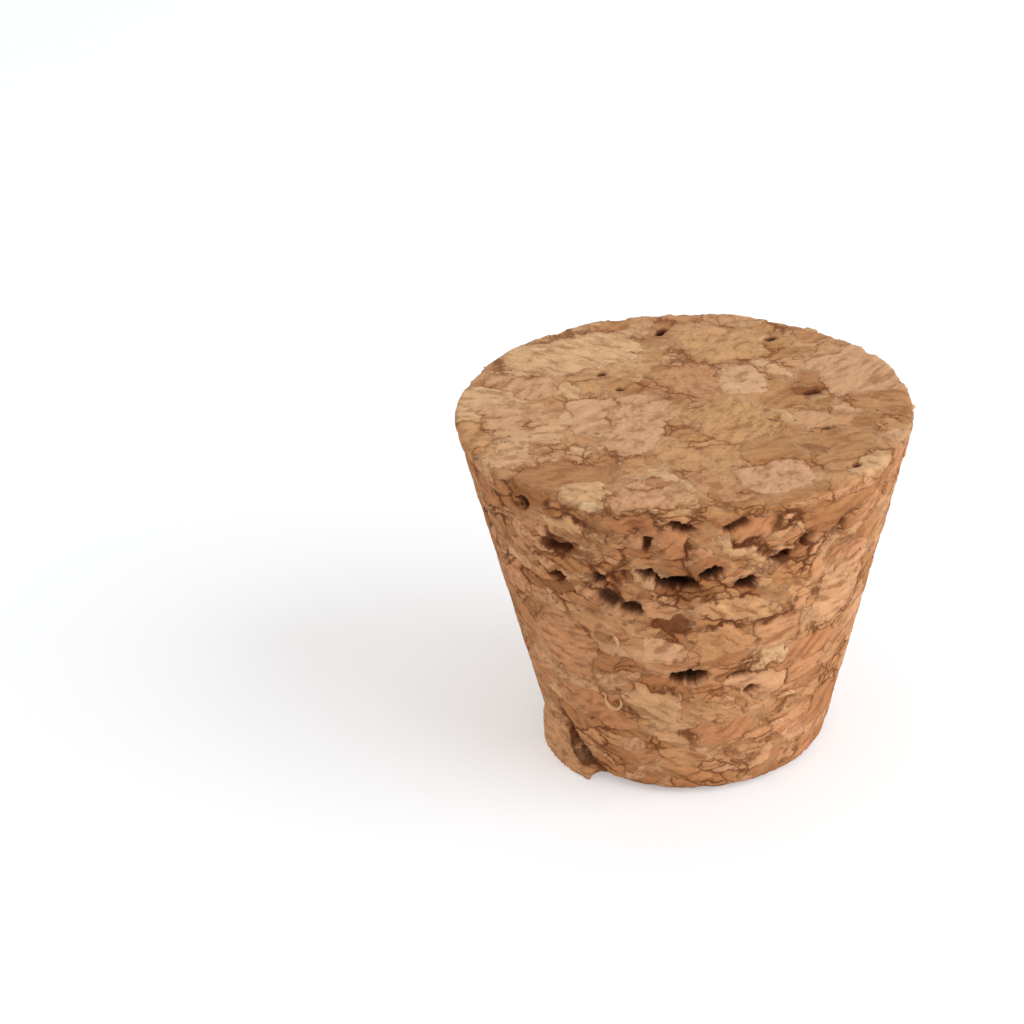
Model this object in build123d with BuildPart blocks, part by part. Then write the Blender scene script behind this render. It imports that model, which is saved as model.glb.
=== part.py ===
from build123d import *
import os
from math import cos, degrees, radians, sin

# Cork stopper: one tapered plug, pressed from cork granules and ground to shape, standing on its small end.
# The origin is the centre of the small end, +Z runs up the axis, and the most pitted side faces -Y.
# Azimuths are in degrees about +Z, counted from +X, so -90 is that side.

# Driving dimensions
top_diameter = 28.0  # large end
foot_diameter = 17.5  # small end
height = 22.5
top_break = 0.2  # dulled edge of the large end
foot_break = 0.6  # worn edge of the small end
granule = 3.0  # a common granule of the pressed cork, which the voids, scars and bites follow
flake_length = 6.8  # loose granule that has lifted beside the foot
flake_width = 4.8
flake_proud = 0.8  # how far the flake stands off the taper at the floor
flake_root = 1.2  # how deep the flake is bedded in the taper

# How the flake lies: its place round the stopper, its lean, the heights of its middle and of its upper end
# as shares of its length, and how far that end dips under the taper as a share of its standoff
flake_azimuth = -151.5
flake_lean = 38.0
flake_height_share = 0.08
flake_rise_share = 0.65
flake_dip_share = 0.25

# The crevice along the flake's free edge: how far it lies across and along the flake from the flake's middle,
# as shares of its width and length, then its own length, width and depth as shares of a granule
crevice_across_share = 0.534
crevice_along_share = 0.074
crevice_size_shares = (1.30, 0.22, 0.40)

# A void's torn mouth, corner by corner, as shares of its length and its width, and how far its floor shrinks
mouth_shares = [
    (-0.50, -0.12),
    (-0.42, 0.34),
    (-0.14, 0.26),
    (0.10, 0.50),
    (0.40, 0.38),
    (0.50, -0.06),
    (0.30, -0.46),
    (-0.06, -0.34),
    (-0.34, -0.50),
]
void_floor_share = 0.6

# How far outside the taper each cut starts, as a share of the flake's standoff, so that it clears the flake
overrun_share = 1.25

# Voids in the taper: azimuth, height share, then length, width and depth as shares of a granule, and slant
side_void_shares = [
    (-97.0, 0.764, 1.08, 0.30, 0.50, -6),
    (-104.0, 0.792, 0.60, 0.26, 0.40, 168),
    (-87.5, 0.794, 0.62, 0.30, 0.42, 12),
    (-78.0, 0.752, 0.56, 0.32, 0.42, 198),
    (-93.8, 0.438, 0.84, 0.38, 0.50, 185),
    (-116.0, 0.690, 0.64, 0.42, 0.30, -22),
    (-109.5, 0.664, 0.66, 0.24, 0.34, 172),
    (-131.5, 0.724, 0.50, 0.36, 0.34, 14),
    (-118.3, 0.746, 0.46, 0.24, 0.30, 8),
    (-128.5, 0.832, 0.80, 0.24, 0.26, 190),
    (-103.8, 0.896, 0.42, 0.28, 0.28, 70),
    (-95.5, 0.948, 0.70, 0.26, 0.34, -12),
    (-82.0, 0.945, 0.66, 0.28, 0.26, 200),
    (-70.0, 0.822, 0.70, 0.24, 0.34, 14),
    (-62.5, 0.852, 0.36, 0.28, 0.30, 60),
    (-50.5, 0.850, 0.40, 0.26, 0.24, 40),
    (-138.0, 0.940, 0.52, 0.36, 0.34, 30),
    (-78.5, 0.430, 0.54, 0.20, 0.28, 174),
    (-73.0, 0.372, 0.36, 0.22, 0.26, 20),
    (-22.0, 0.620, 0.60, 0.26, 0.32, 8),
    (12.0, 0.330, 0.72, 0.28, 0.34, 168),
    (-4.0, 0.815, 0.66, 0.26, 0.34, 188),
    (30.0, 0.800, 0.56, 0.30, 0.36, 12),
    (47.0, 0.760, 0.90, 0.32, 0.42, 186),
    (79.0, 0.520, 0.56, 0.28, 0.32, 20),
    (113.0, 0.830, 0.72, 0.28, 0.36, 171),
    (124.0, 0.770, 0.50, 0.30, 0.36, 6),
    (139.0, 0.300, 0.80, 0.30, 0.40, 190),
    (152.0, 0.880, 0.50, 0.26, 0.32, 14),
    (171.0, 0.690, 0.60, 0.28, 0.32, -15),
    (-164.0, 0.800, 0.64, 0.26, 0.32, 176),
]

# Voids in the large end: azimuth, radius share, then as above
top_void_shares = [
    (133.3, 0.50, 0.36, 0.32, 0.34, 35),
    (143.0, 0.33, 0.34, 0.28, 0.32, 160),
    (93.0, 0.80, 0.66, 0.32, 0.34, 62),
    (56.2, 0.80, 0.38, 0.32, 0.34, 190),
    (8.4, 0.57, 0.54, 0.42, 0.16, 15),
    (-25.0, 0.64, 0.32, 0.28, 0.26, 100),
    (-44.0, 0.92, 0.34, 0.30, 0.26, 40),
    (153.0, 0.57, 0.54, 0.20, 0.26, 12),
]

# Voids in the small end: azimuth, radius share, then as above
foot_void_shares = [
    (160.0, 0.62, 0.56, 0.42, 0.25, 20),
    (62.0, 0.48, 0.40, 0.28, 0.30, -30),
    (-72.0, 0.66, 0.50, 0.32, 0.25, 50),
    (-20.0, 0.40, 0.44, 0.24, 0.25, 170),
]

# Scars where the grinding tore chips off the taper, in rows round it: height share, how many, first azimuth
scar_row_shares = [
    (0.930, 18, -171.0),
    (0.855, 18, -158.0),
    (0.780, 17, -170.0),
    (0.700, 16, -153.0),
    (0.600, 11, -140.0),
    (0.400, 8, -166.0),
    (0.210, 6, -112.0),
]

# A scar's outline, corner by corner, as shares of its length and its width
scar_corner_shares = [
    (-0.50, 0.06),
    (-0.20, 0.50),
    (0.34, 0.36),
    (0.50, -0.14),
    (0.12, -0.50),
    (-0.38, -0.34),
]

# Uneven turns the scars take one after the other: along and up their row as shares of its spacing and of the
# height, then length, width and depth as shares of a granule, slant, and the tip and roll of the floor
scar_along_shares = (0.0, 0.24, -0.16, 0.30, -0.26)
scar_up_shares = (0.0, 0.014, -0.017, 0.008)
scar_length_shares = (0.95, 0.65, 1.20, 0.80, 1.05, 0.70, 0.90)
scar_width_shares = (0.50, 0.62, 0.42, 0.56, 0.46)
scar_depth_shares = (0.022, 0.036, 0.028)
scar_slants = (-12.0, 18.0, 170.0, -28.0, 5.0, 196.0, 34.0, 158.0)
scar_tips = (-10.0, -7.0, 8.0, -11.0, -8.0, 7.0)
scar_rolls = (3.0, -4.0, 2.0, -3.0)

# Bites out of the large rim where granules came away: azimuth, then radius and depth as shares of a granule
top_bite_shares = [
    (-84.5, 0.34, 0.16),
    (-136.5, 0.30, 0.12),
    (-111.0, 0.30, 0.07),
    (-61.0, 0.34, 0.08),
    (-23.0, 0.28, 0.08),
    (9.0, 0.30, 0.10),
    (28.0, 0.40, 0.13),
    (61.0, 0.30, 0.08),
    (93.0, 0.28, 0.15),
    (122.0, 0.36, 0.10),
    (151.0, 0.30, 0.07),
    (-171.0, 0.30, 0.09),
]

# Bites out of the small rim, in the same terms
foot_bite_shares = [
    (-132.0, 0.22, 0.20),
    (-97.0, 0.30, 0.08),
    (-58.0, 0.28, 0.09),
    (-12.0, 0.30, 0.10),
    (40.0, 0.28, 0.08),
    (88.0, 0.32, 0.10),
    (140.0, 0.28, 0.08),
]

# Worked out from the driving dimensions
top_radius = top_diameter / 2
foot_radius = foot_diameter / 2
taper_slope = (top_radius - foot_radius) / height
cut_overrun = flake_proud * overrun_share


def corners(shares, length, width):
    """The corners of a torn outline, about its own middle."""
    return [(length * along, width * across) for along, across in shares]


def turn(turns, count):
    """The turn that the next one takes."""
    return turns[count % len(turns)]


def outward(azimuth, z_part):
    """A direction at an azimuth, with a rise or fall for each unit of run."""
    return Vector(cos(radians(azimuth)), sin(radians(azimuth)), z_part)


def rim_point(azimuth, radius, z):
    """A point on a circle about the axis."""
    return Vector(radius * cos(radians(azimuth)), radius * sin(radians(azimuth)), z)


def taper_plane(azimuth, height_share):
    """The plane that lies on the taper at one place, seen from outside with its Y direction up."""
    z = height * height_share
    sideways = Vector(-sin(radians(azimuth)), cos(radians(azimuth)), 0)
    origin = rim_point(azimuth, foot_radius + taper_slope * z, z)
    return Plane(origin, x_dir=sideways, z_dir=outward(azimuth, -taper_slope))


def bite_centre(corner, face_normal, azimuth, radius, depth):
    """The centre of a ball that bites a rim to a depth, along the line that halves the rim's corner."""
    halving = (outward(azimuth, -taper_slope).normalized() + face_normal).normalized()
    return corner + halving * (radius - depth)


# Every void as its plane, length, width, depth and slant
top_plane = Plane.XY.offset(height)
foot_plane = -Plane.XY
voids = []
for azimuth, height_share, *sizes in side_void_shares:
    voids.append((taper_plane(azimuth, height_share), *sizes))
for azimuth, radius_share, *sizes in top_void_shares:
    place = rim_point(azimuth, top_radius * radius_share, height)
    voids.append((Plane(place, z_dir=top_plane.z_dir), *sizes))
for azimuth, radius_share, *sizes in foot_void_shares:
    place = rim_point(azimuth, foot_radius * radius_share, 0)
    voids.append((Plane(place, z_dir=foot_plane.z_dir), *sizes))

# The crevice lies along the flake, at a place worked out on the unrolled taper
crevice_across = flake_width * crevice_across_share
crevice_along = flake_length * crevice_along_share
crevice_run = crevice_across * cos(radians(flake_lean)) - crevice_along * sin(radians(flake_lean))
crevice_rise = crevice_across * sin(radians(flake_lean)) + crevice_along * cos(radians(flake_lean))
crevice_z = flake_length * flake_height_share + crevice_rise
crevice_azimuth = flake_azimuth + degrees(crevice_run / (foot_radius + taper_slope * crevice_z))
voids.append((taper_plane(crevice_azimuth, crevice_z / height), *crevice_size_shares, flake_lean - 90))

# Every scar as the plane of its floor and its outline
scars = []
for height_share, how_many, first_azimuth in scar_row_shares:
    for place in range(how_many):
        count = len(scars)
        azimuth = first_azimuth + (place + turn(scar_along_shares, count)) * 360 / how_many
        seat = taper_plane(azimuth, height_share + turn(scar_up_shares, count))
        floor = seat.rotated((turn(scar_tips, count), turn(scar_rolls, count), turn(scar_slants, count)))
        length = granule * turn(scar_length_shares, count)
        width = granule * turn(scar_width_shares, count)
        depth = granule * turn(scar_depth_shares, count)
        scars.append((floor.offset(-depth), corners(scar_corner_shares, length, width)))

# Every bite as the centre and the radius of its ball
bites = []
for azimuth, radius_share, depth_share in top_bite_shares:
    corner = rim_point(azimuth, top_radius, height)
    radius = granule * radius_share
    bites.append((bite_centre(corner, top_plane.z_dir, azimuth, radius, granule * depth_share), radius))
for azimuth, radius_share, depth_share in foot_bite_shares:
    corner = rim_point(azimuth, foot_radius, 0)
    radius = granule * radius_share
    bites.append((bite_centre(corner, foot_plane.z_dir, azimuth, radius, granule * depth_share), radius))

# The flake is a sliver of a steeper taper, cut to a leaf, that leaves the stopper towards the floor
flake_seat = taper_plane(flake_azimuth, flake_length * flake_height_share / height)
flake_rise = flake_length * flake_rise_share
flake_tip = foot_radius + taper_slope * flake_rise - flake_dip_share * flake_proud

with BuildPart() as flake:
    with BuildSketch(Plane.XZ):
        with BuildLine():
            Polyline(
                (foot_radius - flake_root, 0),
                (foot_radius + flake_proud, 0),
                (flake_tip, flake_rise),
                (flake_tip - flake_root, flake_rise),
                close=True,
            )
        make_face()
    revolve(axis=Axis.Z)
    with BuildSketch(flake_seat):
        Ellipse(flake_width / 2, flake_length / 2, rotation=flake_lean)
    extrude(amount=flake_width, both=True, mode=Mode.INTERSECT)

with BuildPart() as stopper:
    # Ground taper, with its two rims
    with BuildSketch(Plane.XZ):
        with BuildLine():
            Polyline((0, 0), (foot_radius, 0), (top_radius, height), (0, height), close=True)
        make_face()
    revolve(axis=Axis.Z)
    chamfer(stopper.edges().group_by(Axis.Z)[-1], top_break)
    chamfer(stopper.edges().group_by(Axis.Z)[0], foot_break)

    # Lifted flake beside the foot
    add(flake.part)

    # Open voids between the granules
    cuts = []
    for plane, length_share, width_share, depth_share, slant in voids:
        mouth = corners(mouth_shares, granule * length_share, granule * width_share)
        floor = [(x * void_floor_share, y * void_floor_share) for x, y in mouth]
        with BuildSketch(plane.offset(cut_overrun)):
            Polygon(*mouth, rotation=slant, align=None)
        with BuildSketch(plane.offset(-granule * depth_share)):
            Polygon(*floor, rotation=slant, align=None)
        cuts.append(loft(ruled=True, mode=Mode.PRIVATE))

    # Scars on the taper, each with a tipped floor
    for floor, outline in scars:
        with BuildSketch(floor):
            Polygon(*outline, align=None)
        cuts.append(extrude(amount=cut_overrun, mode=Mode.PRIVATE))

    # Bites out of both rims
    for centre, radius in bites:
        with Locations(centre):
            cuts.append(Sphere(radius, mode=Mode.PRIVATE))
    add(cuts, mode=Mode.SUBTRACT)

stopper.part.label = "stopper"

os.makedirs("parts", exist_ok=True)
export_step(stopper.part, "parts/stopper.step")
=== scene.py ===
from math import cos, pi, radians, sin

import bmesh
import bpy
from mathutils import Matrix, Vector


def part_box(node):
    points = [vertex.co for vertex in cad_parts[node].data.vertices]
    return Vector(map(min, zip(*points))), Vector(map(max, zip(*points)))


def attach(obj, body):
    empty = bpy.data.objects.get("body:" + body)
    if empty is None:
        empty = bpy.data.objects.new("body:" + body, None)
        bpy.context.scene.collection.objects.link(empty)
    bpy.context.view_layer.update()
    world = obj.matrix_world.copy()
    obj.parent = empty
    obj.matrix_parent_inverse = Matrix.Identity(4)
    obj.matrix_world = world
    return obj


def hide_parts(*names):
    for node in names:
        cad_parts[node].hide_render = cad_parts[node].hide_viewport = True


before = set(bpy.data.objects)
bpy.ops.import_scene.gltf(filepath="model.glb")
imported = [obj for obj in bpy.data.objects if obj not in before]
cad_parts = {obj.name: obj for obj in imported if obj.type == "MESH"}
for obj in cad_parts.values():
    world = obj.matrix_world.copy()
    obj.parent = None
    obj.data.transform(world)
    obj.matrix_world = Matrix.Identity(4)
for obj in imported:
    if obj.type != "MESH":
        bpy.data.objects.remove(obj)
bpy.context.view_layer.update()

# A tapered stopper of pressed cork granules on a white studio floor. Metres, in the frame's own axes.
MM = 0.001

# Sizes that come from the frame
low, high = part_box("stopper")
HEIGHT = high.z - low.z
TOP_RADIUS = (high.x - low.x) / 2
FOOT_RADIUS = TOP_RADIUS * 0.628  # the small end, as a share of the large one
TAPER_SLOPE = (TOP_RADIUS - FOOT_RADIUS) / HEIGHT

# Cork, with its lengths in millimetres
GRANULE = 4.2  # whole granules
CRUMB = 2.1  # granules that broke in the press
PRESSED = 2.1  # how many times wider than thick the press left them
SKIN = 0.190  # edge of the little squares that carry the relief
FRONT = -98.0  # azimuth of the most torn side, in degrees

# Granules that stand out by their own tone. Each has its middle, its half sizes across, through and up,
# its lean and its turn about the axis in degrees, then its tone from dark to pale and its hue from yellow
# to pink. The last one is no granule but painted shadow: a dark strip in the crevice beside the lifted flake
MARKED = [
    ((-6.7, 8.3, 22.5), (4.7, 2.5, 1.2), 0, 14, 0.85, 0.2),  # long pale one along the back of the large end
    ((-3.0, -2.2, 22.5), (1.8, 3.9, 1.2), 0, -12, 0.6, 0.9),  # pale one in the middle of the large end
    ((3.2, 8.8, 22.5), (2.9, 2.7, 1.2), 0, 5, 0.3, 0.1),
    ((3.9, 3.1, 22.5), (1.4, 2.0, 1.2), 0, 8, 0.75, 0.8),
    ((2.7, -2.3, 22.5), (2.3, 2.7, 1.2), 0, 20, 0.2, 0.0),
    ((4.4, -9.9, 22.5), (2.3, 1.9, 1.2), 0, 15, 0.55, 1.0),
    ((-10.9, -1.0, 22.5), (1.3, 2.5, 1.2), 0, 10, 0.6, 0.8),
    ((-10.9, -5.8, 22.5), (1.0, 1.8, 1.2), 0, -15, 0.7, 0.7),
    ((-6.7, -10.9, 22.5), (1.5, 1.2, 1.0), 0, 25, 0.7, 0.2),
    ((-2.9, -12.0, 22.5), (2.4, 1.3, 0.9), 0, 5, 0.45, 1.0),
    ((10.4, -8.8, 22.5), (0.9, 1.8, 0.9), 0, -45, 0.75, 0.2),
    ((7.8, 1.2, 22.5), (1.0, 0.8, 0.6), 0, 15, -1.2, 0.9),  # woody granule in the large end
    ((-0.8, 10.8, 22.5), (0.9, 1.9, 0.6), 0, -10, -0.5, 0.9),
    ((7.0, -6.6, 22.5), (0.6, 0.8, 0.5), 0, 30, -0.9, 0.9),
    ((-6.5, -12.3, 22.4), (0.8, 0.6, 0.4), 0, -30, 1.2, 0.2),  # cream chip on the front rim
    ((-1.8, -13.2, 20.0), (1.0, 1.0, 1.2), 0, -8, -0.1, 1.0),
    ((2.9, -12.9, 19.0), (2.3, 1.0, 0.6), 32, 13, 0.85, 0.3),  # long chip that slants up to the right
    ((-7.8, -10.9, 20.1), (1.5, 1.0, 0.9), -10, -36, 0.75, 0.1),
    ((-4.0, -13.1, 21.3), (1.9, 1.0, 0.75), 0, -17, -0.3, 0.9),
    ((3.0, -13.2, 21.0), (1.3, 1.0, 0.9), 12, 12, -0.1, 0.9),
    ((-7.7, -10.5, 18.7), (1.9, 1.0, 0.45), -10, -37, -1.2, 1.0),
    ((2.2, -12.0, 14.9), (2.4, 1.0, 0.9), 8, 10, 0.6, 0.1),
    ((-1.9, -11.9, 14.1), (0.95, 0.8, 0.55), 8, -9, -1.5, 0.9),  # woody granule in the side
    ((-2.4, -11.2, 11.8), (1.3, 1.0, 0.95), -12, -12, 0.95, 0.8),
    ((4.3, -10.3, 10.4), (1.1, 1.0, 0.85), 6, 22, 1.1, 0.1),
    ((4.6, -10.7, 12.6), (1.6, 1.0, 1.3), -10, 23, 0.5, 0.6),
    ((-2.9, -10.1, 7.4), (1.75, 1.0, 1.6), 20, -16, 0.8, 0.1),
    ((1.6, -9.8, 5.3), (2.2, 1.0, 0.95), -8, 9, -0.05, 0.9),
    ((-8.1, -7.8, 10.9), (2.4, 1.0, 2.6), 15, -45, 0.4, 0.7),
    ((8.6, -8.4, 14.0), (2.3, 1.0, 2.4), -10, 45, 0.7, 0.5),
    ((-8.1, -4.4, 0.6), (2.4, 1.6, 3.4), -38, -61, 0.65, 0.3),  # the lifted flake
    # Painted shadow, not a granule: a dark strip laid in the crevice where the flake leaves the body
    ((-7.26, -5.88, 2.5), (0.30, 1.2, 2.3), -38, -51, -2.6, 0.9),  # the crevice beside it
]
UNTURNED = 0.5  # the third number of a marked granule, whose growth lines aren't turned about the axis

# Curled shavings: azimuth, height, radius of the curl, first angle, sweep and how far the curl stands off
SHAVINGS = [
    (-60.0, 6.9, 0.75, -20, 190, 0.35),
    (-58.0, 6.3, 0.50, 40, 230, 0.25),
    (-61.5, 4.6, 0.70, 20, 130, 0.20),
    (-57.5, 4.3, 0.45, 190, 140, 0.20),
    (-119.0, 7.3, 0.60, 150, 250, 0.15),
    (-116.0, 12.4, 0.45, -80, 170, 0.25),
    (31.0, 13.5, 0.55, 60, 200, 0.30),
    (152.0, 8.0, 0.60, 10, 160, 0.30),
    (149.0, 22.1, 0.22, 40, 120, 0.12),
    (-2.0, 21.8, 0.24, 80, 100, 0.12),
]
SHAVING_STEPS = 18  # along a shaving
SHAVING_WIDTH, SHAVING_THICKNESS = 0.12, 0.18  # at its middle
SHAVING_ENDS = 0.4  # how wide and thick its ends are, as a share of its middle
SHAVING_CURL = 0.25  # how much tighter it ends than it starts
SHAVING_NUMBERS = (1.3, 0.2, UNTURNED)  # tone, hue and turn of the lines, as for a marked granule

# Torn chips of the solid, in rows round the taper: height share, how many, first azimuth, then the uneven
# turns that they take along and up their row
CHIP_ROWS = [
    (0.930, 18, -171.0),
    (0.855, 18, -158.0),
    (0.780, 17, -170.0),
    (0.700, 16, -153.0),
    (0.600, 11, -140.0),
    (0.400, 8, -166.0),
    (0.210, 6, -112.0),
]
CHIP_ALONG = (0.0, 0.24, -0.16, 0.30, -0.26)
CHIP_UP = (0.0, 0.014, -0.017, 0.008)
CHIP_TIPS = (-0.06, -0.04, 0.05, -0.07, -0.05, 0.04)  # slope of a chip's floor, up the taper
CHIP_DEPTH = 0.14  # of a chip's floor at its middle
CHIP_BLOCK = 0.4  # width and height of the little blocks that floor a chip
CHIP_COLUMNS, CHIP_LAYERS = 10, 6  # of blocks in a chip
CHIP_BED = 2.0  # how deep a block reaches below the floor

# Voids of the solid's side: azimuth, height share, then length, width and depth as shares of a common
# granule, and slant
COMMON_GRANULE = 3.0
VOID_SHARES = [
    (-97.0, 0.764, 1.08, 0.30, 0.50, -6),
    (-104.0, 0.792, 0.60, 0.26, 0.40, 168),
    (-87.5, 0.794, 0.62, 0.30, 0.42, 12),
    (-78.0, 0.752, 0.56, 0.32, 0.42, 198),
    (-93.8, 0.438, 0.84, 0.38, 0.50, 185),
    (-116.0, 0.690, 0.64, 0.42, 0.30, -22),
    (-109.5, 0.664, 0.66, 0.24, 0.34, 172),
    (-131.5, 0.724, 0.50, 0.36, 0.34, 14),
    (-118.3, 0.746, 0.46, 0.24, 0.30, 8),
    (-128.5, 0.832, 0.80, 0.24, 0.26, 190),
    (-103.8, 0.896, 0.42, 0.28, 0.28, 70),
    (-95.5, 0.948, 0.70, 0.26, 0.34, -12),
    (-82.0, 0.945, 0.66, 0.28, 0.26, 200),
    (-70.0, 0.822, 0.70, 0.24, 0.34, 14),
    (-62.5, 0.852, 0.36, 0.28, 0.30, 60),
    (-50.5, 0.850, 0.40, 0.26, 0.24, 40),
    (-138.0, 0.940, 0.52, 0.36, 0.34, 30),
    (-78.5, 0.430, 0.54, 0.20, 0.28, 174),
    (-73.0, 0.372, 0.36, 0.22, 0.26, 20),
    (-22.0, 0.620, 0.60, 0.26, 0.32, 8),
    (12.0, 0.330, 0.72, 0.28, 0.34, 168),
    (-4.0, 0.815, 0.66, 0.26, 0.34, 188),
    (30.0, 0.800, 0.56, 0.30, 0.36, 12),
    (47.0, 0.760, 0.90, 0.32, 0.42, 186),
    (79.0, 0.520, 0.56, 0.28, 0.32, 20),
    (113.0, 0.830, 0.72, 0.28, 0.36, 171),
    (124.0, 0.770, 0.50, 0.30, 0.36, 6),
    (139.0, 0.300, 0.80, 0.30, 0.40, 190),
    (152.0, 0.880, 0.50, 0.26, 0.32, 14),
    (171.0, 0.690, 0.60, 0.28, 0.32, -15),
    (-164.0, 0.800, 0.64, 0.26, 0.32, 176),
    (-141.0, 0.112, 1.30, 0.22, 0.40, -52),  # the crevice beside the flake
]
VOIDS = [
    (azimuth, share, *(COMMON_GRANULE * size for size in sizes), slant)
    for azimuth, share, *sizes, slant in VOID_SHARES
]
VOID_THROUGH = 1.5  # half of a void's outline, inward and outward
VOID_FLOOR, VOID_EDGE = 0.72, 0.92  # shares of the outline where a void's floor ends and where its wall ends
VOID_LIP = 0.15  # how far outside a void the floors of the chips stop

# Tints over a granule's tone, on the large end and on the side
YELLOW = (1.0, 1.0, 0.88, 1)
PINK_END, PINK_SIDE = (1.01, 0.975, 0.98, 1), (1.0, 0.92, 0.87, 1)
WARM_END, WARM_SIDE = (1.015, 0.99, 0.97, 1), (1.14, 1.01, 0.95, 1)


def linear(hex_colour):
    """An sRGB hex colour as linear RGBA."""
    parts = [int(hex_colour[i : i + 2], 16) / 255 for i in (1, 3, 5)]
    return [c / 12.92 if c <= 0.04045 else ((c + 0.055) / 1.055) ** 2.4 for c in parts] + [1.0]


def add(tree, kind, inputs=None, **settings):
    """Adds a node, gives it its settings, and fills or links its inputs."""
    made = tree.nodes.new(kind)
    for name, value in settings.items():
        setattr(made, name, value)
    for slot, value in (inputs or {}).items():
        if isinstance(value, bpy.types.Node):
            value = value.outputs[0]
        if isinstance(value, bpy.types.NodeSocket):
            tree.links.new(value, made.inputs[slot])
        else:
            made.inputs[slot].default_value = value
    return made


def noise(tree, place, size, detail, roughness=0.5):
    """A noise whose marks are about as wide as size, in the units of the place."""
    inputs = {"Vector": place, "Scale": 1 / size, "Detail": detail, "Roughness": roughness}
    return add(tree, "ShaderNodeTexNoise", inputs)


def shaken(tree, place, shaker, amounts):
    """A place, shifted both ways by a noise's colour."""
    shift = {0: shaker.outputs["Color"], 1: (0.5,) * 3}
    shift = add(tree, "ShaderNodeVectorMath", shift, operation="SUBTRACT")
    inputs = {0: shift, 1: amounts, 2: place}
    return add(tree, "ShaderNodeVectorMath", inputs, operation="MULTIPLY_ADD").outputs[0]


def seen_from(tree, place, middle, turned):
    """A place as seen from a middle that is turned by three angles."""
    away = add(tree, "ShaderNodeVectorMath", {0: place, 1: middle}, operation="SUBTRACT")
    inputs = {"Vector": away, "Rotation": turned}
    return add(tree, "ShaderNodeVectorRotate", inputs, rotation_type="EULER_XYZ", invert=True)


def wall_and_reach(tree, spot):
    """The taper's radius at a spot's height, and the spot's own distance from the axis, in metres."""
    inputs = {0: spot.outputs[2], 1: TAPER_SLOPE, 2: FOOT_RADIUS}
    wall = add(tree, "ShaderNodeMath", inputs, operation="MULTIPLY_ADD")
    along = add(tree, "ShaderNodeCombineXYZ", {0: spot.outputs[0], 1: spot.outputs[1]})
    return wall, add(tree, "ShaderNodeVectorMath", {0: along}, operation="LENGTH").outputs["Value"]


def seam_clusters(tree, place):
    """Where the seams gape and where they are shut, the same for the relief and for the colour."""
    return noise(tree, place, 2.4, 3.0)


def torn_zone(tree, place):
    """How torn the surface is, from 0 to 1: most on the upper half of the side, all over the front and in
    patches elsewhere, and least on the ends."""
    spot = add(tree, "ShaderNodeSeparateXYZ", {0: place})
    share = add(tree, "ShaderNodeMath", {0: spot.outputs[2], 1: MM / HEIGHT}, operation="MULTIPLY")
    upper = add(tree, "ShaderNodeMapRange", {0: share, 1: 0.48, 2: 0.70, 3: 0.08, 4: 1.0})
    lid = add(tree, "ShaderNodeMapRange", {0: share, 1: 0.965, 2: 0.992, 3: 1.0, 4: 0.0})
    level = add(tree, "ShaderNodeVectorMath", {0: place, 1: (1.0, 1.0, 0.0)}, operation="MULTIPLY")
    level = add(tree, "ShaderNodeVectorMath", {0: level}, operation="NORMALIZE")
    front = (cos(radians(FRONT)), sin(radians(FRONT)), 0.0)
    facing = add(tree, "ShaderNodeVectorMath", {0: level, 1: front}, operation="DOT_PRODUCT").outputs["Value"]
    facing = add(tree, "ShaderNodeMapRange", {0: facing, 1: 0.64, 2: 0.88, 3: 0.0, 4: 1.0})
    patch = noise(tree, place, 8.0, 1.0)
    patch = add(tree, "ShaderNodeMapRange", {0: patch, 1: 0.42, 2: 0.60, 3: 0.1, 4: 0.6})
    where = add(tree, "ShaderNodeMath", {0: facing, 1: patch}, operation="MAXIMUM")
    zone = add(tree, "ShaderNodeMath", {0: upper, 1: lid}, operation="MULTIPLY")
    return add(tree, "ShaderNodeMath", {0: zone, 1: where}, operation="MULTIPLY").outputs[0]


def marked_granules(tree, place):
    """How far inside the nearest marked granule a place is, in millimetres, and that granule's numbers."""
    torn = shaken(tree, place, noise(tree, place, 1.5, 3.0), (2.8,) * 3)
    inside, numbers = None, None
    for middle, halves, lean, turn, tone, hue in MARKED:
        small = min(halves)
        # A box with well rounded corners, about its own middle
        local = seen_from(tree, torn, middle, (0, radians(lean), radians(turn)))
        unit = add(tree, "ShaderNodeVectorMath", {0: local, 1: halves}, operation="DIVIDE")
        square = add(tree, "ShaderNodeVectorMath", {0: unit, 1: unit}, operation="MULTIPLY")
        out = add(tree, "ShaderNodeVectorMath", {0: square}, operation="LENGTH").outputs["Value"]
        out = add(tree, "ShaderNodeMath", {0: out}, operation="SQRT")
        depth = add(tree, "ShaderNodeMath", {0: out, 1: -small, 2: small}, operation="MULTIPLY_ADD")
        if inside is None:
            inside = depth
            numbers = add(tree, "ShaderNodeCombineXYZ", {0: tone, 1: hue, 2: UNTURNED}).outputs[0]
            continue
        nearer = add(tree, "ShaderNodeMath", {0: depth, 1: inside}, operation="GREATER_THAN")
        inputs = {0: nearer, 4: numbers, 5: (tone, hue, UNTURNED)}
        mixed = add(tree, "ShaderNodeMix", inputs, data_type="VECTOR")
        inside = add(tree, "ShaderNodeMath", {0: depth, 1: inside}, operation="MAXIMUM")
        numbers = mixed.outputs[1]
    return inside, numbers


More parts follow.
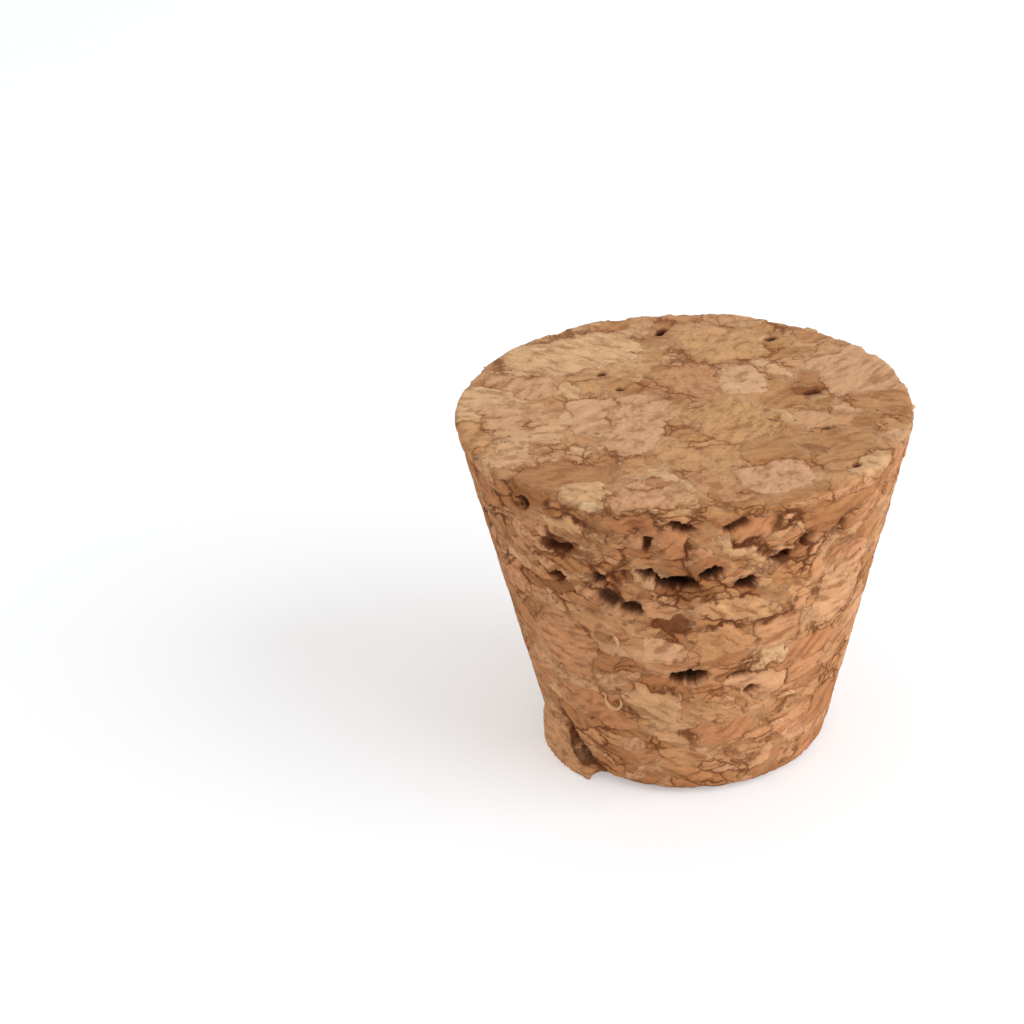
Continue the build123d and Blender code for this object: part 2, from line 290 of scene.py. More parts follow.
def granule_field(tree, place, zone, inside, numbers):
    """The pressed granules at a place in millimetres, the same for the relief and for the colour.

    Gives each granule's three random numbers, the distance to its edge and its lean, in millimetres."""
    # Torn outlines: the place is shifted by a broad and a fine noise before it is sorted into granules
    moved = shaken(tree, place, noise(tree, place, 3.6, 2.0), (3.4, 3.4, 2.6))
    moved = shaken(tree, moved, noise(tree, place, 0.7, 2.0), (0.8, 0.8, 0.5))
    flat = add(tree, "ShaderNodeVectorMath", {0: moved, 1: (1.0, 1.0, PRESSED)}, operation="MULTIPLY")
    cells = {}
    for name, size in (("whole", GRANULE), ("crumb", CRUMB)):
        inputs = {"Vector": flat, "Scale": 1 / size}
        near = add(tree, "ShaderNodeTexVoronoi", inputs)
        edge = add(tree, "ShaderNodeTexVoronoi", inputs, feature="DISTANCE_TO_EDGE")
        gap = add(tree, "ShaderNodeMath", {0: edge, 1: size}, operation="MULTIPLY")
        away = add(tree, "ShaderNodeVectorMath", {0: flat, 1: near.outputs["Position"]}, operation="SUBTRACT")
        cells[name] = (near.outputs["Color"], gap, away)
    whole, crumb = cells["whole"], cells["crumb"]
    # Some of the whole granules broke into crumbs in the press, most of them where the surface is torn
    chances = add(tree, "ShaderNodeSeparateXYZ", {0: whole[0]})
    least = add(tree, "ShaderNodeMapRange", {0: zone, 3: 0.34, 4: 0.05})
    broken = add(tree, "ShaderNodeMath", {0: chances.outputs[2], 1: least}, operation="GREATER_THAN")
    random = add(tree, "ShaderNodeMix", {0: broken, 4: whole[0], 5: crumb[0]}, data_type="VECTOR")
    away = add(tree, "ShaderNodeMix", {0: broken, 4: whole[2], 5: crumb[2]}, data_type="VECTOR")
    both = add(tree, "ShaderNodeMath", {0: whole[1], 1: crumb[1]}, operation="MINIMUM")
    edge = add(tree, "ShaderNodeMix", {0: broken, 2: whole[1], 3: both}, data_type="FLOAT")
    face = add(tree, "ShaderNodeVectorMath", {0: random.outputs[1], 1: (0.5,) * 3}, operation="SUBTRACT")
    lean = add(tree, "ShaderNodeVectorMath", {0: away.outputs[1], 1: face}, operation="DOT_PRODUCT")
    # The marked granules lie over the others
    marked = add(tree, "ShaderNodeMath", {0: inside, 1: 0.0}, operation="GREATER_THAN")
    margin = add(tree, "ShaderNodeMath", {0: inside}, operation="ABSOLUTE")
    shut = add(tree, "ShaderNodeMath", {0: edge.outputs[0], 1: margin}, operation="MINIMUM")
    edge = add(tree, "ShaderNodeMix", {0: marked, 2: shut, 3: margin}, data_type="FLOAT")
    random = add(tree, "ShaderNodeMix", {0: marked, 4: random.outputs[1], 5: numbers}, data_type="VECTOR")
    lean = add(tree, "ShaderNodeMix", {0: marked, 2: lean.outputs["Value"], 3: 0.0}, data_type="FLOAT")
    return random.outputs[1], edge.outputs[0], lean.outputs[0]


def open_voids(tree, place):
    """How deep the voids reach at a place, in millimetres, with torn outlines."""
    torn = shaken(tree, place, noise(tree, place, 0.8, 2.0), (0.8,) * 3)
    deepest = None
    for azimuth, share, length, width, depth, slant in VOIDS:
        turn = radians(azimuth)
        reach = (FOOT_RADIUS + TAPER_SLOPE * HEIGHT * share) / MM
        middle = (reach * cos(turn), reach * sin(turn), HEIGHT * share / MM)
        local = seen_from(tree, torn, middle, (0, radians(-slant), turn + pi / 2))
        halves = (length / 2, VOID_THROUGH, width / 2)
        unit = add(tree, "ShaderNodeVectorMath", {0: local, 1: halves}, operation="DIVIDE")
        out = add(tree, "ShaderNodeVectorMath", {0: unit}, operation="LENGTH").outputs["Value"]
        sunk = add(tree, "ShaderNodeMapRange", {0: out, 1: VOID_FLOOR, 2: VOID_EDGE, 3: depth, 4: 0.0})
        if deepest is None:
            deepest = sunk
            continue
        deepest = add(tree, "ShaderNodeMath", {0: sunk, 1: deepest}, operation="MAXIMUM")
    return deepest


def relief_tree():
    """Geometry nodes that raise the granules, open the seams and voids between them and tear the rims."""
    tree = bpy.data.node_groups.new("granule_relief", "GeometryNodeTree")
    tree.interface.new_socket("Geometry", in_out="INPUT", socket_type="NodeSocketGeometry")
    tree.interface.new_socket("Geometry", in_out="OUTPUT", socket_type="NodeSocketGeometry")
    start = add(tree, "NodeGroupInput")
    here = add(tree, "GeometryNodeInputPosition")
    place = add(tree, "ShaderNodeVectorMath", {0: here, "Scale": 1 / MM}, operation="SCALE")
    zone = torn_zone(tree, place)
    inside, numbers = marked_granules(tree, place)
    kept = start
    for name, value, kind in (
        ("rest", place, "FLOAT_VECTOR"),
        ("inside", inside, "FLOAT"),
        ("numbers", numbers, "FLOAT_VECTOR"),
    ):
        inputs = {"Geometry": kept, "Name": name, "Value": value}
        kept = add(tree, "GeometryNodeStoreNamedAttribute", inputs, data_type=kind, domain="POINT")
    random, edge, lean = granule_field(tree, place, zone, inside, numbers)
    chances = add(tree, "ShaderNodeSeparateXYZ", {0: random})
    spot = add(tree, "ShaderNodeSeparateXYZ", {0: place})

    # Granules stand at their own heights and lean their own ways, more so where the surface is torn
    chance = add(tree, "ShaderNodeClamp", {0: chances.outputs[0]})
    level = add(tree, "ShaderNodeMath", {0: chance, 1: 0.5}, operation="SUBTRACT")
    level = add(tree, "ShaderNodeMath", {0: level, 1: 0.13}, operation="MULTIPLY")
    raised = add(tree, "ShaderNodeMath", {0: lean, 1: 0.06, 2: level}, operation="MULTIPLY_ADD")
    torn = noise(tree, place, 0.9, 1.5, 0.6)
    torn = add(tree, "ShaderNodeMath", {0: torn, 1: 0.5}, operation="SUBTRACT")
    raised = add(tree, "ShaderNodeMath", {0: torn, 1: 0.09, 2: raised}, operation="MULTIPLY_ADD")
    rough = add(tree, "ShaderNodeMapRange", {0: zone, 3: 0.45, 4: 1.0})
    raised = add(tree, "ShaderNodeMath", {0: raised, 1: rough}, operation="MULTIPLY")

    # Seams are closed in some places and gape in others, widest and deepest where the surface is torn
    cluster = seam_clusters(tree, place)
    gape = add(tree, "ShaderNodeMapRange", {0: cluster, 1: 0.46, 2: 0.66, 3: 0.0, 4: 1.0})
    widest = add(tree, "ShaderNodeMapRange", {0: zone, 3: 0.06, 4: 0.18})
    deepest = add(tree, "ShaderNodeMapRange", {0: zone, 3: 0.04, 4: 0.15})
    width = add(tree, "ShaderNodeMath", {0: gape, 1: widest, 2: 0.18}, operation="MULTIPLY_ADD")
    depth = add(tree, "ShaderNodeMath", {0: gape, 1: deepest, 2: 0.02}, operation="MULTIPLY_ADD")
    floor = add(tree, "ShaderNodeMath", {0: width, 1: 0.45}, operation="MULTIPLY")
    groove = add(tree, "ShaderNodeMapRange", {0: edge, 1: floor, 2: width, 3: 1.0, 4: 0.0})
    seam = add(tree, "ShaderNodeMath", {0: groove, 1: depth}, operation="MULTIPLY")
    raised = add(tree, "ShaderNodeMath", {0: raised, 1: seam}, operation="SUBTRACT")

    # Whole granules are missing from the rims or stand out of them
    along = add(tree, "ShaderNodeCombineXYZ", {0: spot.outputs[0], 1: spot.outputs[1]})
    reach = add(tree, "ShaderNodeVectorMath", {0: along}, operation="LENGTH")
    corner = add(tree, "ShaderNodeCombineXYZ", {0: reach.outputs["Value"], 2: spot.outputs[2]})
    rims = []
    for radius, z in ((TOP_RADIUS, HEIGHT), (FOOT_RADIUS, 0.0)):
        inputs = {0: corner, 1: (radius / MM, 0, z / MM)}
        to_rim = add(tree, "ShaderNodeVectorMath", inputs, operation="DISTANCE").outputs["Value"]
        rims.append(add(tree, "ShaderNodeMapRange", {0: to_rim, 1: 0.1, 2: 0.5, 3: 1.0, 4: 0.0}))
    rim = add(tree, "ShaderNodeMath", {0: rims[0], 1: rims[1]}, operation="MAXIMUM")
    bite = add(tree, "ShaderNodeMath", {0: chance, 1: 0.6}, operation="SUBTRACT")
    bite = add(tree, "ShaderNodeMath", {0: torn, 1: 1.5, 2: bite}, operation="MULTIPLY_ADD")
    bite = add(tree, "ShaderNodeMath", {0: bite, 1: 0.32}, operation="MULTIPLY")
    bite = add(tree, "ShaderNodeMath", {0: bite, 1: 0.04}, operation="MINIMUM")
    raised = add(tree, "ShaderNodeMath", {0: bite, 1: rim, 2: raised}, operation="MULTIPLY_ADD")

    # Along the surface's own direction, and never through the floor
    outward = add(tree, "GeometryNodeInputNormal")
    step = add(tree, "ShaderNodeVectorMath", {0: outward, "Scale": raised}, operation="SCALE")
    moved = add(tree, "ShaderNodeVectorMath", {0: step, 1: (MM,) * 3, 2: here}, operation="MULTIPLY_ADD")
    moved = add(tree, "ShaderNodeVectorMath", {0: moved, 1: (-1.0, -1.0, 0.0)}, operation="MAXIMUM")

    # Voids that are too narrow for the little squares are opened again, towards the axis
    sunk = open_voids(tree, place)
    wall, reach = wall_and_reach(tree, add(tree, "ShaderNodeSeparateXYZ", {0: moved}))
    wanted = add(tree, "ShaderNodeMath", {0: sunk, 1: -MM, 2: wall}, operation="MULTIPLY_ADD")
    shrink = add(tree, "ShaderNodeMath", {0: wanted, 1: reach}, operation="DIVIDE")
    shrink = add(tree, "ShaderNodeMath", {0: shrink, 1: 1.0}, operation="MINIMUM")
    opened = add(tree, "ShaderNodeMath", {0: sunk, 1: 0.01}, operation="GREATER_THAN")
    shrink = add(tree, "ShaderNodeMix", {0: opened, 2: 1.0, 3: shrink}, data_type="FLOAT").outputs[0]
    drawn = add(tree, "ShaderNodeCombineXYZ", {0: shrink, 1: shrink, 2: 1.0})
    moved = add(tree, "ShaderNodeVectorMath", {0: moved, 1: drawn}, operation="MULTIPLY")
    shaped = add(tree, "GeometryNodeSetPosition", {"Geometry": kept, "Position": moved})
    add(tree, "NodeGroupOutput", {0: shaped})
    return tree


def add_shavings(mesh):
    """Curled shavings that still hang on the taper: thin pale ribbons laid along arcs."""
    shape = bmesh.new()
    shape.from_mesh(mesh)
    rest = shape.verts.layers.float_vector["rest"]
    inside = shape.verts.layers.float["inside"]
    numbers = shape.verts.layers.float_vector["numbers"]
    for azimuth, height, radius, first, sweep, lift in SHAVINGS:
        turn = radians(azimuth)
        outward = Vector((cos(turn), sin(turn), -TAPER_SLOPE)).normalized()
        across = Vector((-sin(turn), cos(turn), 0.0))
        middle = outward.copy()
        middle.z = 0.0
        middle = middle.normalized() * (FOOT_RADIUS + TAPER_SLOPE * height * MM) + Vector((0, 0, height * MM))
        above = outward.cross(across)
        rings = []
        for step in range(SHAVING_STEPS + 1):
            share = step / SHAVING_STEPS
            angle = radians(first + sweep * share)
            spoke = across * cos(angle) + above * sin(angle)
            curl = spoke * radius * (1.0 - SHAVING_CURL * share)
            spot = middle + (curl + outward * lift * sin(pi * share)) * MM
            thin = SHAVING_ENDS + (1 - SHAVING_ENDS) * sin(pi * share)
            ring = []
            for side, rise in ((-0.5, -0.5), (0.5, -0.5), (0.5, 0.5), (-0.5, 0.5)):
                off = spoke * side * SHAVING_WIDTH + outward * rise * SHAVING_THICKNESS
                vert = shape.verts.new(spot + off * thin * MM)
                vert[rest] = vert.co / MM
                vert[inside] = 1.0
                vert[numbers] = SHAVING_NUMBERS
                ring.append(vert)
            rings.append(ring)
        for one, two in zip(rings, rings[1:]):
            for i in range(4):
                shape.faces.new((one[i], one[(i + 1) % 4], two[(i + 1) % 4], two[i]))
        shape.faces.new(rings[0][::-1])
        shape.faces.new(rings[-1])
    bmesh.ops.recalc_face_normals(shape, faces=shape.faces)
    shape.to_mesh(mesh)
    shape.free()


def in_a_void(azimuth, z):
    """Whether a place on the taper, in degrees and metres, lies in the mouth of a void."""
    for middle, share, length, width, _, slant in VOIDS:
        turn = radians((azimuth - middle + 180) % 360 - 180)
        run = turn * (FOOT_RADIUS + TAPER_SLOPE * z) / MM
        rise = (z - HEIGHT * share) / MM
        along = run * cos(radians(slant)) + rise * sin(radians(slant))
        across = rise * cos(radians(slant)) - run * sin(radians(slant))
        if (along / (length / 2 + VOID_LIP)) ** 2 + (across / (width / 2 + VOID_LIP)) ** 2 < 1:
            return True
    return False


def floor_chips(shape):
    """Floors for the torn chips, of little blocks bedded in the solid. Many of the solid's chips are cut as
    deep pockets, and the stopper shows shallow ones. The voids stay open."""
    block = CHIP_BLOCK * MM
    count = 0
    for share, how_many, first in CHIP_ROWS:
        for place in range(how_many):
            middle = first + (place + CHIP_ALONG[count % len(CHIP_ALONG)]) * 360 / how_many
            up = HEIGHT * (share + CHIP_UP[count % len(CHIP_UP)])
            tip = CHIP_TIPS[count % len(CHIP_TIPS)]
            count += 1
            per_step = block / (FOOT_RADIUS + TAPER_SLOPE * up) * 180 / pi
            for column in range(CHIP_COLUMNS):
                for layer in range(CHIP_LAYERS):
                    start = middle + (column - CHIP_COLUMNS / 2) * per_step
                    foot = up + (layer - CHIP_LAYERS / 2) * block
                    if in_a_void(start + per_step / 2, foot + block / 2):
                        continue
                    verts = []
                    for sunk in (CHIP_BED * MM, 0.0):
                        for one, two in ((0, 0), (1, 0), (1, 1), (0, 1)):
                            turn = radians(start + one * per_step)
                            z = foot + two * block
                            depth = CHIP_DEPTH * MM - tip * (z - up) + sunk
                            reach = FOOT_RADIUS + TAPER_SLOPE * z - depth
                            verts.append(shape.verts.new((reach * cos(turn), reach * sin(turn), z)))
                    shape.faces.new(verts[3::-1])
                    shape.faces.new(verts[4:])
                    for i in range(4):
                        j = (i + 1) % 4
                        shape.faces.new((verts[i], verts[j], verts[j + 4], verts[i + 4]))


def cork_mesh(name):
    """The stopper's solid, resurfaced finely and given its granules."""
    shape = bmesh.new()
    shape.from_mesh(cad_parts["stopper"].data)
    bmesh.ops.remove_doubles(shape, verts=shape.verts, dist=0.001 * MM)
    floor_chips(shape)
    mesh = bpy.data.meshes.new(name)
    shape.to_mesh(mesh)
    shape.free()
    piece = bpy.data.objects.new(name, mesh)
    bpy.context.scene.collection.objects.link(piece)
    skin = piece.modifiers.new("skin", "REMESH")
    skin.mode = "VOXEL"
    skin.voxel_size = SKIN * MM
    skin.use_smooth_shade = True
    relief = piece.modifiers.new("relief", "NODES")
    relief.node_group = relief_tree()
    scene_now = bpy.context.evaluated_depsgraph_get()
    finished = bpy.data.meshes.new_from_object(piece.evaluated_get(scene_now))
    piece.modifiers.clear()
    piece.data = finished
    add_shavings(finished)
    return piece


def laid_over(tree, colour, shade, share):
    """A hex shade laid over a colour, by a share from 0 to 1."""
    inputs = {0: share, 6: colour, 7: linear(shade)}
    return add(tree, "ShaderNodeMix", inputs, data_type="RGBA").outputs[2]


def pressed_cork():
    """Pressed cork: granules bonded under heat and ground to shape, bare. The eye sees tan flakes with torn
    edges, thin dark seams with a rusty halo, faint growth lines in each flake and dark open voids. Painted
    shade deepens the voids, the torn gaps and the brown patches of the torn zone, and a painted highlight
    lines the shut seams. It is matt."""
    material = bpy.data.materials.new("pressed_cork_granules")
    material.use_nodes = True
    tree = material.node_tree
    tree.nodes.clear()
    place = add(tree, "ShaderNodeAttribute", attribute_name="rest").outputs["Vector"]
    inside = add(tree, "ShaderNodeAttribute", attribute_name="inside").outputs["Fac"]
    numbers = add(tree, "ShaderNodeAttribute", attribute_name="numbers").outputs["Vector"]
    # Frayed edges, finer than the relief
    fray = noise(tree, place, 0.34, 3.0)
    frayed = shaken(tree, place, fray, (0.32,) * 3)
    ragged = add(tree, "ShaderNodeMath", {0: fray, 1: 0.5}, operation="SUBTRACT")
    inside = add(tree, "ShaderNodeMath", {0: ragged, 1: 0.5, 2: inside}, operation="MULTIPLY_ADD").outputs[0]
    zone = torn_zone(tree, place)
    random, edge, _ = granule_field(tree, frayed, zone, inside, numbers)
    chances = add(tree, "ShaderNodeSeparateXYZ", {0: random})
    spot = add(tree, "ShaderNodeSeparateXYZ", {0: place})
    share = add(tree, "ShaderNodeMath", {0: spot.outputs[2], 1: MM / HEIGHT}, operation="MULTIPLY")
    side = add(tree, "ShaderNodeMapRange", {0: share, 1: 0.982, 2: 0.995, 3: 1.0, 4: 0.0})
    bold = add(tree, "ShaderNodeMapRange", {0: side, 3: 0.68, 4: 0.75})
    bold = add(tree, "ShaderNodeMath", {0: zone, 1: 0.25, 2: bold}, operation="MULTIPLY_ADD")

    # Each granule's own tone and hue, warmer on the side, which was ground across the grain
    marked = add(tree, "ShaderNodeMath", {0: inside, 1: 0.0}, operation="GREATER_THAN")
    torn = add(tree, "ShaderNodeMapRange", {0: chances.outputs[0], 3: -0.8, 4: 0.75})
    ground = add(tree, "ShaderNodeMapRange", {0: chances.outputs[0], 3: -0.5, 4: 0.85})
    own = add(tree, "ShaderNodeMix", {0: zone, 2: ground, 3: torn}, data_type="FLOAT")
    tone = add(tree, "ShaderNodeMix", {0: marked, 2: own, 3: chances.outputs[0]}, data_type="FLOAT")
    tone = add(tree, "ShaderNodeMapRange", {0: tone, 1: -2.0, 2: 2.0, 3: 0.0, 4: 1.0})
    tone = add(tree, "ShaderNodeValToRGB", {0: tone})
    stops = tone.color_ramp.elements
    stops[0].color = linear("#5a331c")
    stops[1].color = linear("#f2d8b2")
    for stop, shade in (
        (0.25, "#95603a"),
        (0.42, "#be8a5e"),
        (0.5, "#c99569"),
        (0.625, "#d3a278"),
        (0.75, "#dfb68e"),
    ):
        stops.new(stop).color = linear(shade)
    pink = add(tree, "ShaderNodeMix", {0: side, 6: PINK_END, 7: PINK_SIDE}, data_type="RGBA")
    inputs = {0: chances.outputs[1], 6: YELLOW, 7: pink.outputs[2]}
    hue = add(tree, "ShaderNodeMix", inputs, data_type="RGBA")
    colour = add(tree, "ShaderNodeVectorMath", {0: tone, 1: hue.outputs[2]}, operation="MULTIPLY")
    warm = add(tree, "ShaderNodeMix", {0: side, 6: WARM_END, 7: WARM_SIDE}, data_type="RGBA").outputs[2]
    colour = add(tree, "ShaderNodeVectorMath", {0: colour, 1: warm}, operation="MULTIPLY").outputs[0]

    # Growth lines that lie flat and tilt their own way in each granule, some of them rusty
    tilt = add(tree, "ShaderNodeVectorMath", {0: random, 1: (0.5,) * 3}, operation="SUBTRACT")
    tilt = add(tree, "ShaderNodeVectorMath", {0: tilt, "Scale": 1.6}, operation="SCALE")
    inputs = {"Vector": frayed, "Rotation": tilt}
    along = add(tree, "ShaderNodeVectorRotate", inputs, rotation_type="EULER_XYZ")
    squeezed = add(tree, "ShaderNodeVectorMath", {0: along, 1: (1.0, 2.6, 6.0)}, operation="MULTIPLY")
    lines = noise(tree, squeezed, 2.4, 3.0, 0.55)
    light = add(tree, "ShaderNodeMapRange", {0: lines, 1: 0.36, 2: 0.64, 3: 1.15, 4: 0.83})
    colour = add(tree, "ShaderNodeVectorMath", {0: colour, "Scale": light}, operation="SCALE").outputs[0]
    rust = add(tree, "ShaderNodeMapRange", {0: lines, 1: 0.54, 2: 0.63, 3: 0.0, 4: 0.6})
    rust = add(tree, "ShaderNodeMath", {0: rust, 1: bold}, operation="MULTIPLY")
    colour = laid_over(tree, colour, "#a4602f", rust)

    # Brown patches in the torn zone: partly stain, partly painted shade between the torn chips
    blotches = noise(tree, place, 2.0, 4.0, 0.6)
    stain_and_painted_shade = add(tree, "ShaderNodeMapRange", {0: blotches, 1: 0.50, 2: 0.70, 3: 0.0, 4: 0.6})
    stain_and_painted_shade = add(tree, "ShaderNodeMath", {0: stain_and_painted_shade, 1: zone}, operation="MULTIPLY")
    colour = laid_over(tree, colour, "#85491f", stain_and_painted_shade)

    # Thin rusty creases that wander across the granules and come and go
    laid = add(tree, "ShaderNodeVectorMath", {0: frayed, 1: (1.0, 1.0, 3.0)}, operation="MULTIPLY")
    wander = noise(tree, laid, 2.4, 2.0)
    ridge = add(tree, "ShaderNodeMath", {0: wander, 1: 0.5}, operation="SUBTRACT")
    ridge = add(tree, "ShaderNodeMath", {0: ridge}, operation="ABSOLUTE")
    crease = add(tree, "ShaderNodeMapRange", {0: ridge, 1: 0.0, 2: 0.03, 3: 1.0, 4: 0.0})
    come = add(tree, "ShaderNodeMapRange", {0: blotches, 1: 0.46, 2: 0.6, 3: 0.05, 4: 0.45})
    crease = add(tree, "ShaderNodeMath", {0: crease, 1: come}, operation="MULTIPLY")
    colour = laid_over(tree, colour, "#985a31", crease)

    # Seams: a rusty halo, a thin dark core that comes and goes, partly the dark bond and partly painted shade
    # in the seam, and wider painted shade in the gaps where the surface is torn
    cluster = seam_clusters(tree, place)
    inputs = {0: edge, 1: 0.0, 2: 0.34, 3: 1.0, 4: 0.0}
    halo = add(tree, "ShaderNodeMapRange", inputs, interpolation_type="SMOOTHSTEP")
    glow = add(tree, "ShaderNodeMapRange", {0: cluster, 1: 0.42, 2: 0.60, 3: 0.06, 4: 0.45})
    halo = add(tree, "ShaderNodeMath", {0: halo, 1: glow}, operation="MULTIPLY")
    colour = laid_over(tree, colour, "#a8652f", halo)
    # A pale rim beside the shut seams: painted highlight where the chip edges catch the light, over their
    # paler cut edge
    shut = add(tree, "ShaderNodeMapRange", {0: cluster, 1: 0.42, 2: 0.58, 3: 0.25, 4: 0.0})
    pale = add(tree, "ShaderNodeMapRange", {0: edge, 1: 0.05, 2: 0.26, 3: 1.0, 4: 0.0})
    pale = add(tree, "ShaderNodeMath", {0: pale, 1: shut}, operation="MULTIPLY")
    colour = laid_over(tree, colour, "#e0b88a", pale)
    # Painted shade in the gaping seams of the torn zone, widening the dark core
    gape = add(tree, "ShaderNodeMapRange", {0: cluster, 1: 0.46, 2: 0.64, 3: 0.0, 4: 1.0})
    gape = add(tree, "ShaderNodeMath", {0: gape, 1: zone}, operation="MULTIPLY")
    width = add(tree, "ShaderNodeMapRange", {0: cluster, 1: 0.40, 2: 0.66, 3: 0.05, 4: 0.12})
    width = add(tree, "ShaderNodeMath", {0: gape, 1: 0.16, 2: width}, operation="MULTIPLY_ADD")
    most = add(tree, "ShaderNodeMath", {0: width, 1: 0.2}, operation="MULTIPLY")
    seam_core_and_painted_gap_shade = add(tree, "ShaderNodeMapRange", {0: edge, 1: most, 2: width, 3: 1.0, 4: 0.0})
    strength = add(tree, "ShaderNodeMapRange", {0: cluster, 1: 0.40, 2: 0.60, 3: 0.10, 4: 0.95})
    seam_core_and_painted_gap_shade = add(tree, "ShaderNodeMath", {0: seam_core_and_painted_gap_shade, 1: strength}, operation="MULTIPLY")
    seam_core_and_painted_gap_shade = add(tree, "ShaderNodeMath", {0: seam_core_and_painted_gap_shade, 1: bold}, operation="MULTIPLY")
    colour = laid_over(tree, colour, "#683516", seam_core_and_painted_gap_shade)

    # Dark specks beside the seams, and the grain of the cut cells
    speck = noise(tree, place, 0.75, 3.0, 0.6)
    specks = add(tree, "ShaderNodeMapRange", {0: speck, 1: 0.62, 2: 0.68, 3: 0.0, 4: 0.6})
    close = add(tree, "ShaderNodeMapRange", {0: edge, 1: 0.15, 2: 0.55, 3: 1.0, 4: 0.0})
    specks = add(tree, "ShaderNodeMath", {0: specks, 1: close}, operation="MULTIPLY")
    colour = laid_over(tree, colour, "#6b3d22", specks)
    tooth = noise(tree, place, 0.3, 4.0, 0.65)
    grain = add(tree, "ShaderNodeMapRange", {0: tooth, 1: 0.25, 2: 0.75, 3: 0.90, 4: 1.10})
    colour = add(tree, "ShaderNodeVectorMath", {0: colour, "Scale": grain}, operation="SCALE").outputs[0]

    # Open voids and sunken chip floors darken with their depth below the ground surface: partly the voids'
    # own dark bark, partly painted shade in the recesses
    now = add(tree, "ShaderNodeTexCoord").outputs["Object"]
    actual = add(tree, "ShaderNodeSeparateXYZ", {0: now})
    wall, reach = wall_and_reach(tree, actual)
    below_wall = add(tree, "ShaderNodeMath", {0: wall, 1: reach}, operation="SUBTRACT")
    below_top = add(tree, "ShaderNodeMath", {0: HEIGHT, 1: actual.outputs[2]}, operation="SUBTRACT")
    below_top = add(tree, "ShaderNodeMath", {0: below_top, 1: 2.2}, operation="MULTIPLY")
    below = add(tree, "ShaderNodeMath", {0: below_wall, 1: below_top}, operation="MINIMUM")
    below = add(tree, "ShaderNodeMath", {0: below, 1: actual.outputs[2]}, operation="MINIMUM")
    for near, far, most, shade in ((0.22, 0.56, 0.72, "#5c3019"), (0.60, 1.10, 0.80, "#2e190e")):
        dark = add(tree, "ShaderNodeMapRange", {0: below, 1: near * MM, 2: far * MM, 3: 0.0, 4: most})
        colour = laid_over(tree, colour, shade, dark)

    # Fine tooth of the cut cells, raised growth lines and sunken seams
    height = add(tree, "ShaderNodeMath", {0: lines, 1: -1.0, 2: tooth}, operation="MULTIPLY_ADD")
    height = add(tree, "ShaderNodeMath", {0: seam_core_and_painted_gap_shade, 1: -0.5, 2: height}, operation="MULTIPLY_ADD")
    bump = add(tree, "ShaderNodeBump", {"Height": height, "Strength": 0.45, "Distance": 0.22 * MM})
    shader = add(
        tree,
        "ShaderNodeBsdfPrincipled",
        {"Base Color": colour, "Roughness": 0.88, "Specular IOR Level": 0.25, "Normal": bump},
    )
    add(tree, "ShaderNodeOutputMaterial", {"Surface": shader})
    return material


# The photograph's camera: a pinhole that looks down on the stopper, turned a little about its line of sight
IMAGE_SIDE = 1024
FOCAL_PIXELS = 2598.0
FOOT_PIXEL = (687.2, 717.3)  # where the middle of the small end falls
LOOK_DOWN = radians(28.01)
ROLL = radians(-2.675)
AWAY = 168.6 * MM  # from the lens to the middle of the small end, along the line of sight


def studio_camera():
    """The camera, placed so that the middle of the small end falls on its pixel."""
    ahead = Vector((0, cos(LOOK_DOWN), -sin(LOOK_DOWN)))
    level = Vector((1, 0, 0))
    above = level.cross(ahead)
    right = level * cos(ROLL) + above * sin(ROLL)
    up = above * cos(ROLL) - level * sin(ROLL)
    across = (FOOT_PIXEL[0] - IMAGE_SIDE / 2) / FOCAL_PIXELS * AWAY
    down = (FOOT_PIXEL[1] - IMAGE_SIDE / 2) / FOCAL_PIXELS * AWAY
    data = bpy.data.cameras.new("camera")
    data.lens = data.sensor_width * FOCAL_PIXELS / IMAGE_SIDE
    data.clip_start = 1 * MM
    camera = bpy.data.objects.new("camera", data)
    turned = Matrix((right, up, -ahead)).transposed().to_4x4()
    camera.matrix_world = Matrix.Translation(up * down - right * across - ahead * AWAY) @ turned
    bpy.context.scene.collection.objects.link(camera)
    bpy.context.scene.camera = camera


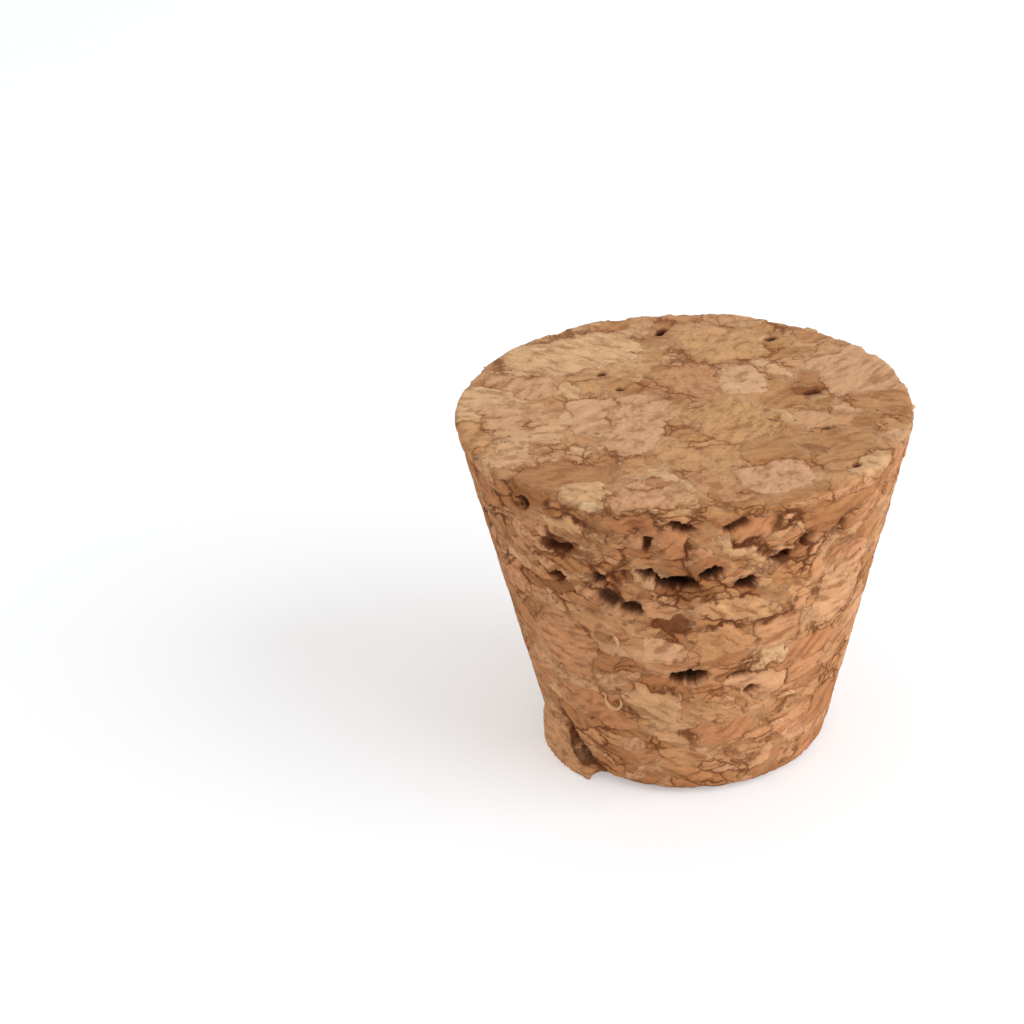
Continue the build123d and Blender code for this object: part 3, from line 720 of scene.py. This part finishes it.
def studio_floor():
    """A white floor that keeps the shadow and lets the rest go to white."""
    shape = bmesh.new()
    bmesh.ops.create_grid(shape, x_segments=1, y_segments=1, size=1.5)
    mesh = bpy.data.meshes.new("floor")
    shape.to_mesh(mesh)
    shape.free()
    floor = bpy.data.objects.new("floor", mesh)
    bpy.context.scene.collection.objects.link(floor)
    material = bpy.data.materials.new("white_floor")
    material.use_nodes = True
    tree = material.node_tree
    tree.nodes.clear()
    path = add(tree, "ShaderNodeLightPath")
    paper = add(tree, "ShaderNodeBsdfDiffuse", {"Color": (0.8, 0.8, 0.8, 1.0)})
    lift = add(tree, "ShaderNodeMath", {0: path.outputs["Is Camera Ray"], 1: 0.35}, operation="MULTIPLY")
    glow = add(tree, "ShaderNodeEmission", {"Strength": lift})
    both = add(tree, "ShaderNodeAddShader", {0: paper, 1: glow})
    add(tree, "ShaderNodeOutputMaterial", {"Surface": both})
    floor.data.materials.append(material)


def studio_light():
    """A white tent and one large soft lamp, high on the right."""
    world = bpy.data.worlds.new("tent")
    world.use_nodes = True
    tree = world.node_tree
    tree.nodes.clear()
    path = add(tree, "ShaderNodeLightPath")
    rays = {0: path.outputs["Is Camera Ray"], 1: path.outputs["Is Glossy Ray"]}
    seen = add(tree, "ShaderNodeMath", rays, operation="MAXIMUM")
    level = add(tree, "ShaderNodeMapRange", {0: seen, 3: 0.65, 4: 1.0})
    tent = add(tree, "ShaderNodeBackground", {"Color": (1, 1, 1, 1), "Strength": level})
    add(tree, "ShaderNodeOutputWorld", {"Surface": tent})
    bpy.context.scene.world = world
    data = bpy.data.lights.new("soft_lamp", "AREA")
    data.shape = "DISK"
    data.size = 0.5
    data.energy = 1.75
    data.color = (0.92, 1.0, 1.10)
    lamp = bpy.data.objects.new("soft_lamp", data)
    stand = Vector((0.42, -0.20, 0.32))
    lamp.matrix_world = Matrix.Translation(stand) @ (-stand).to_track_quat("-Z", "Y").to_matrix().to_4x4()
    bpy.context.scene.collection.objects.link(lamp)


stopper = cork_mesh("cork_stopper")
stopper.data.materials.clear()
stopper.data.materials.append(pressed_cork())
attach(stopper, "root")
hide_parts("stopper")

studio_camera()
studio_floor()
studio_light()
bpy.context.scene.view_settings.view_transform = "Standard"
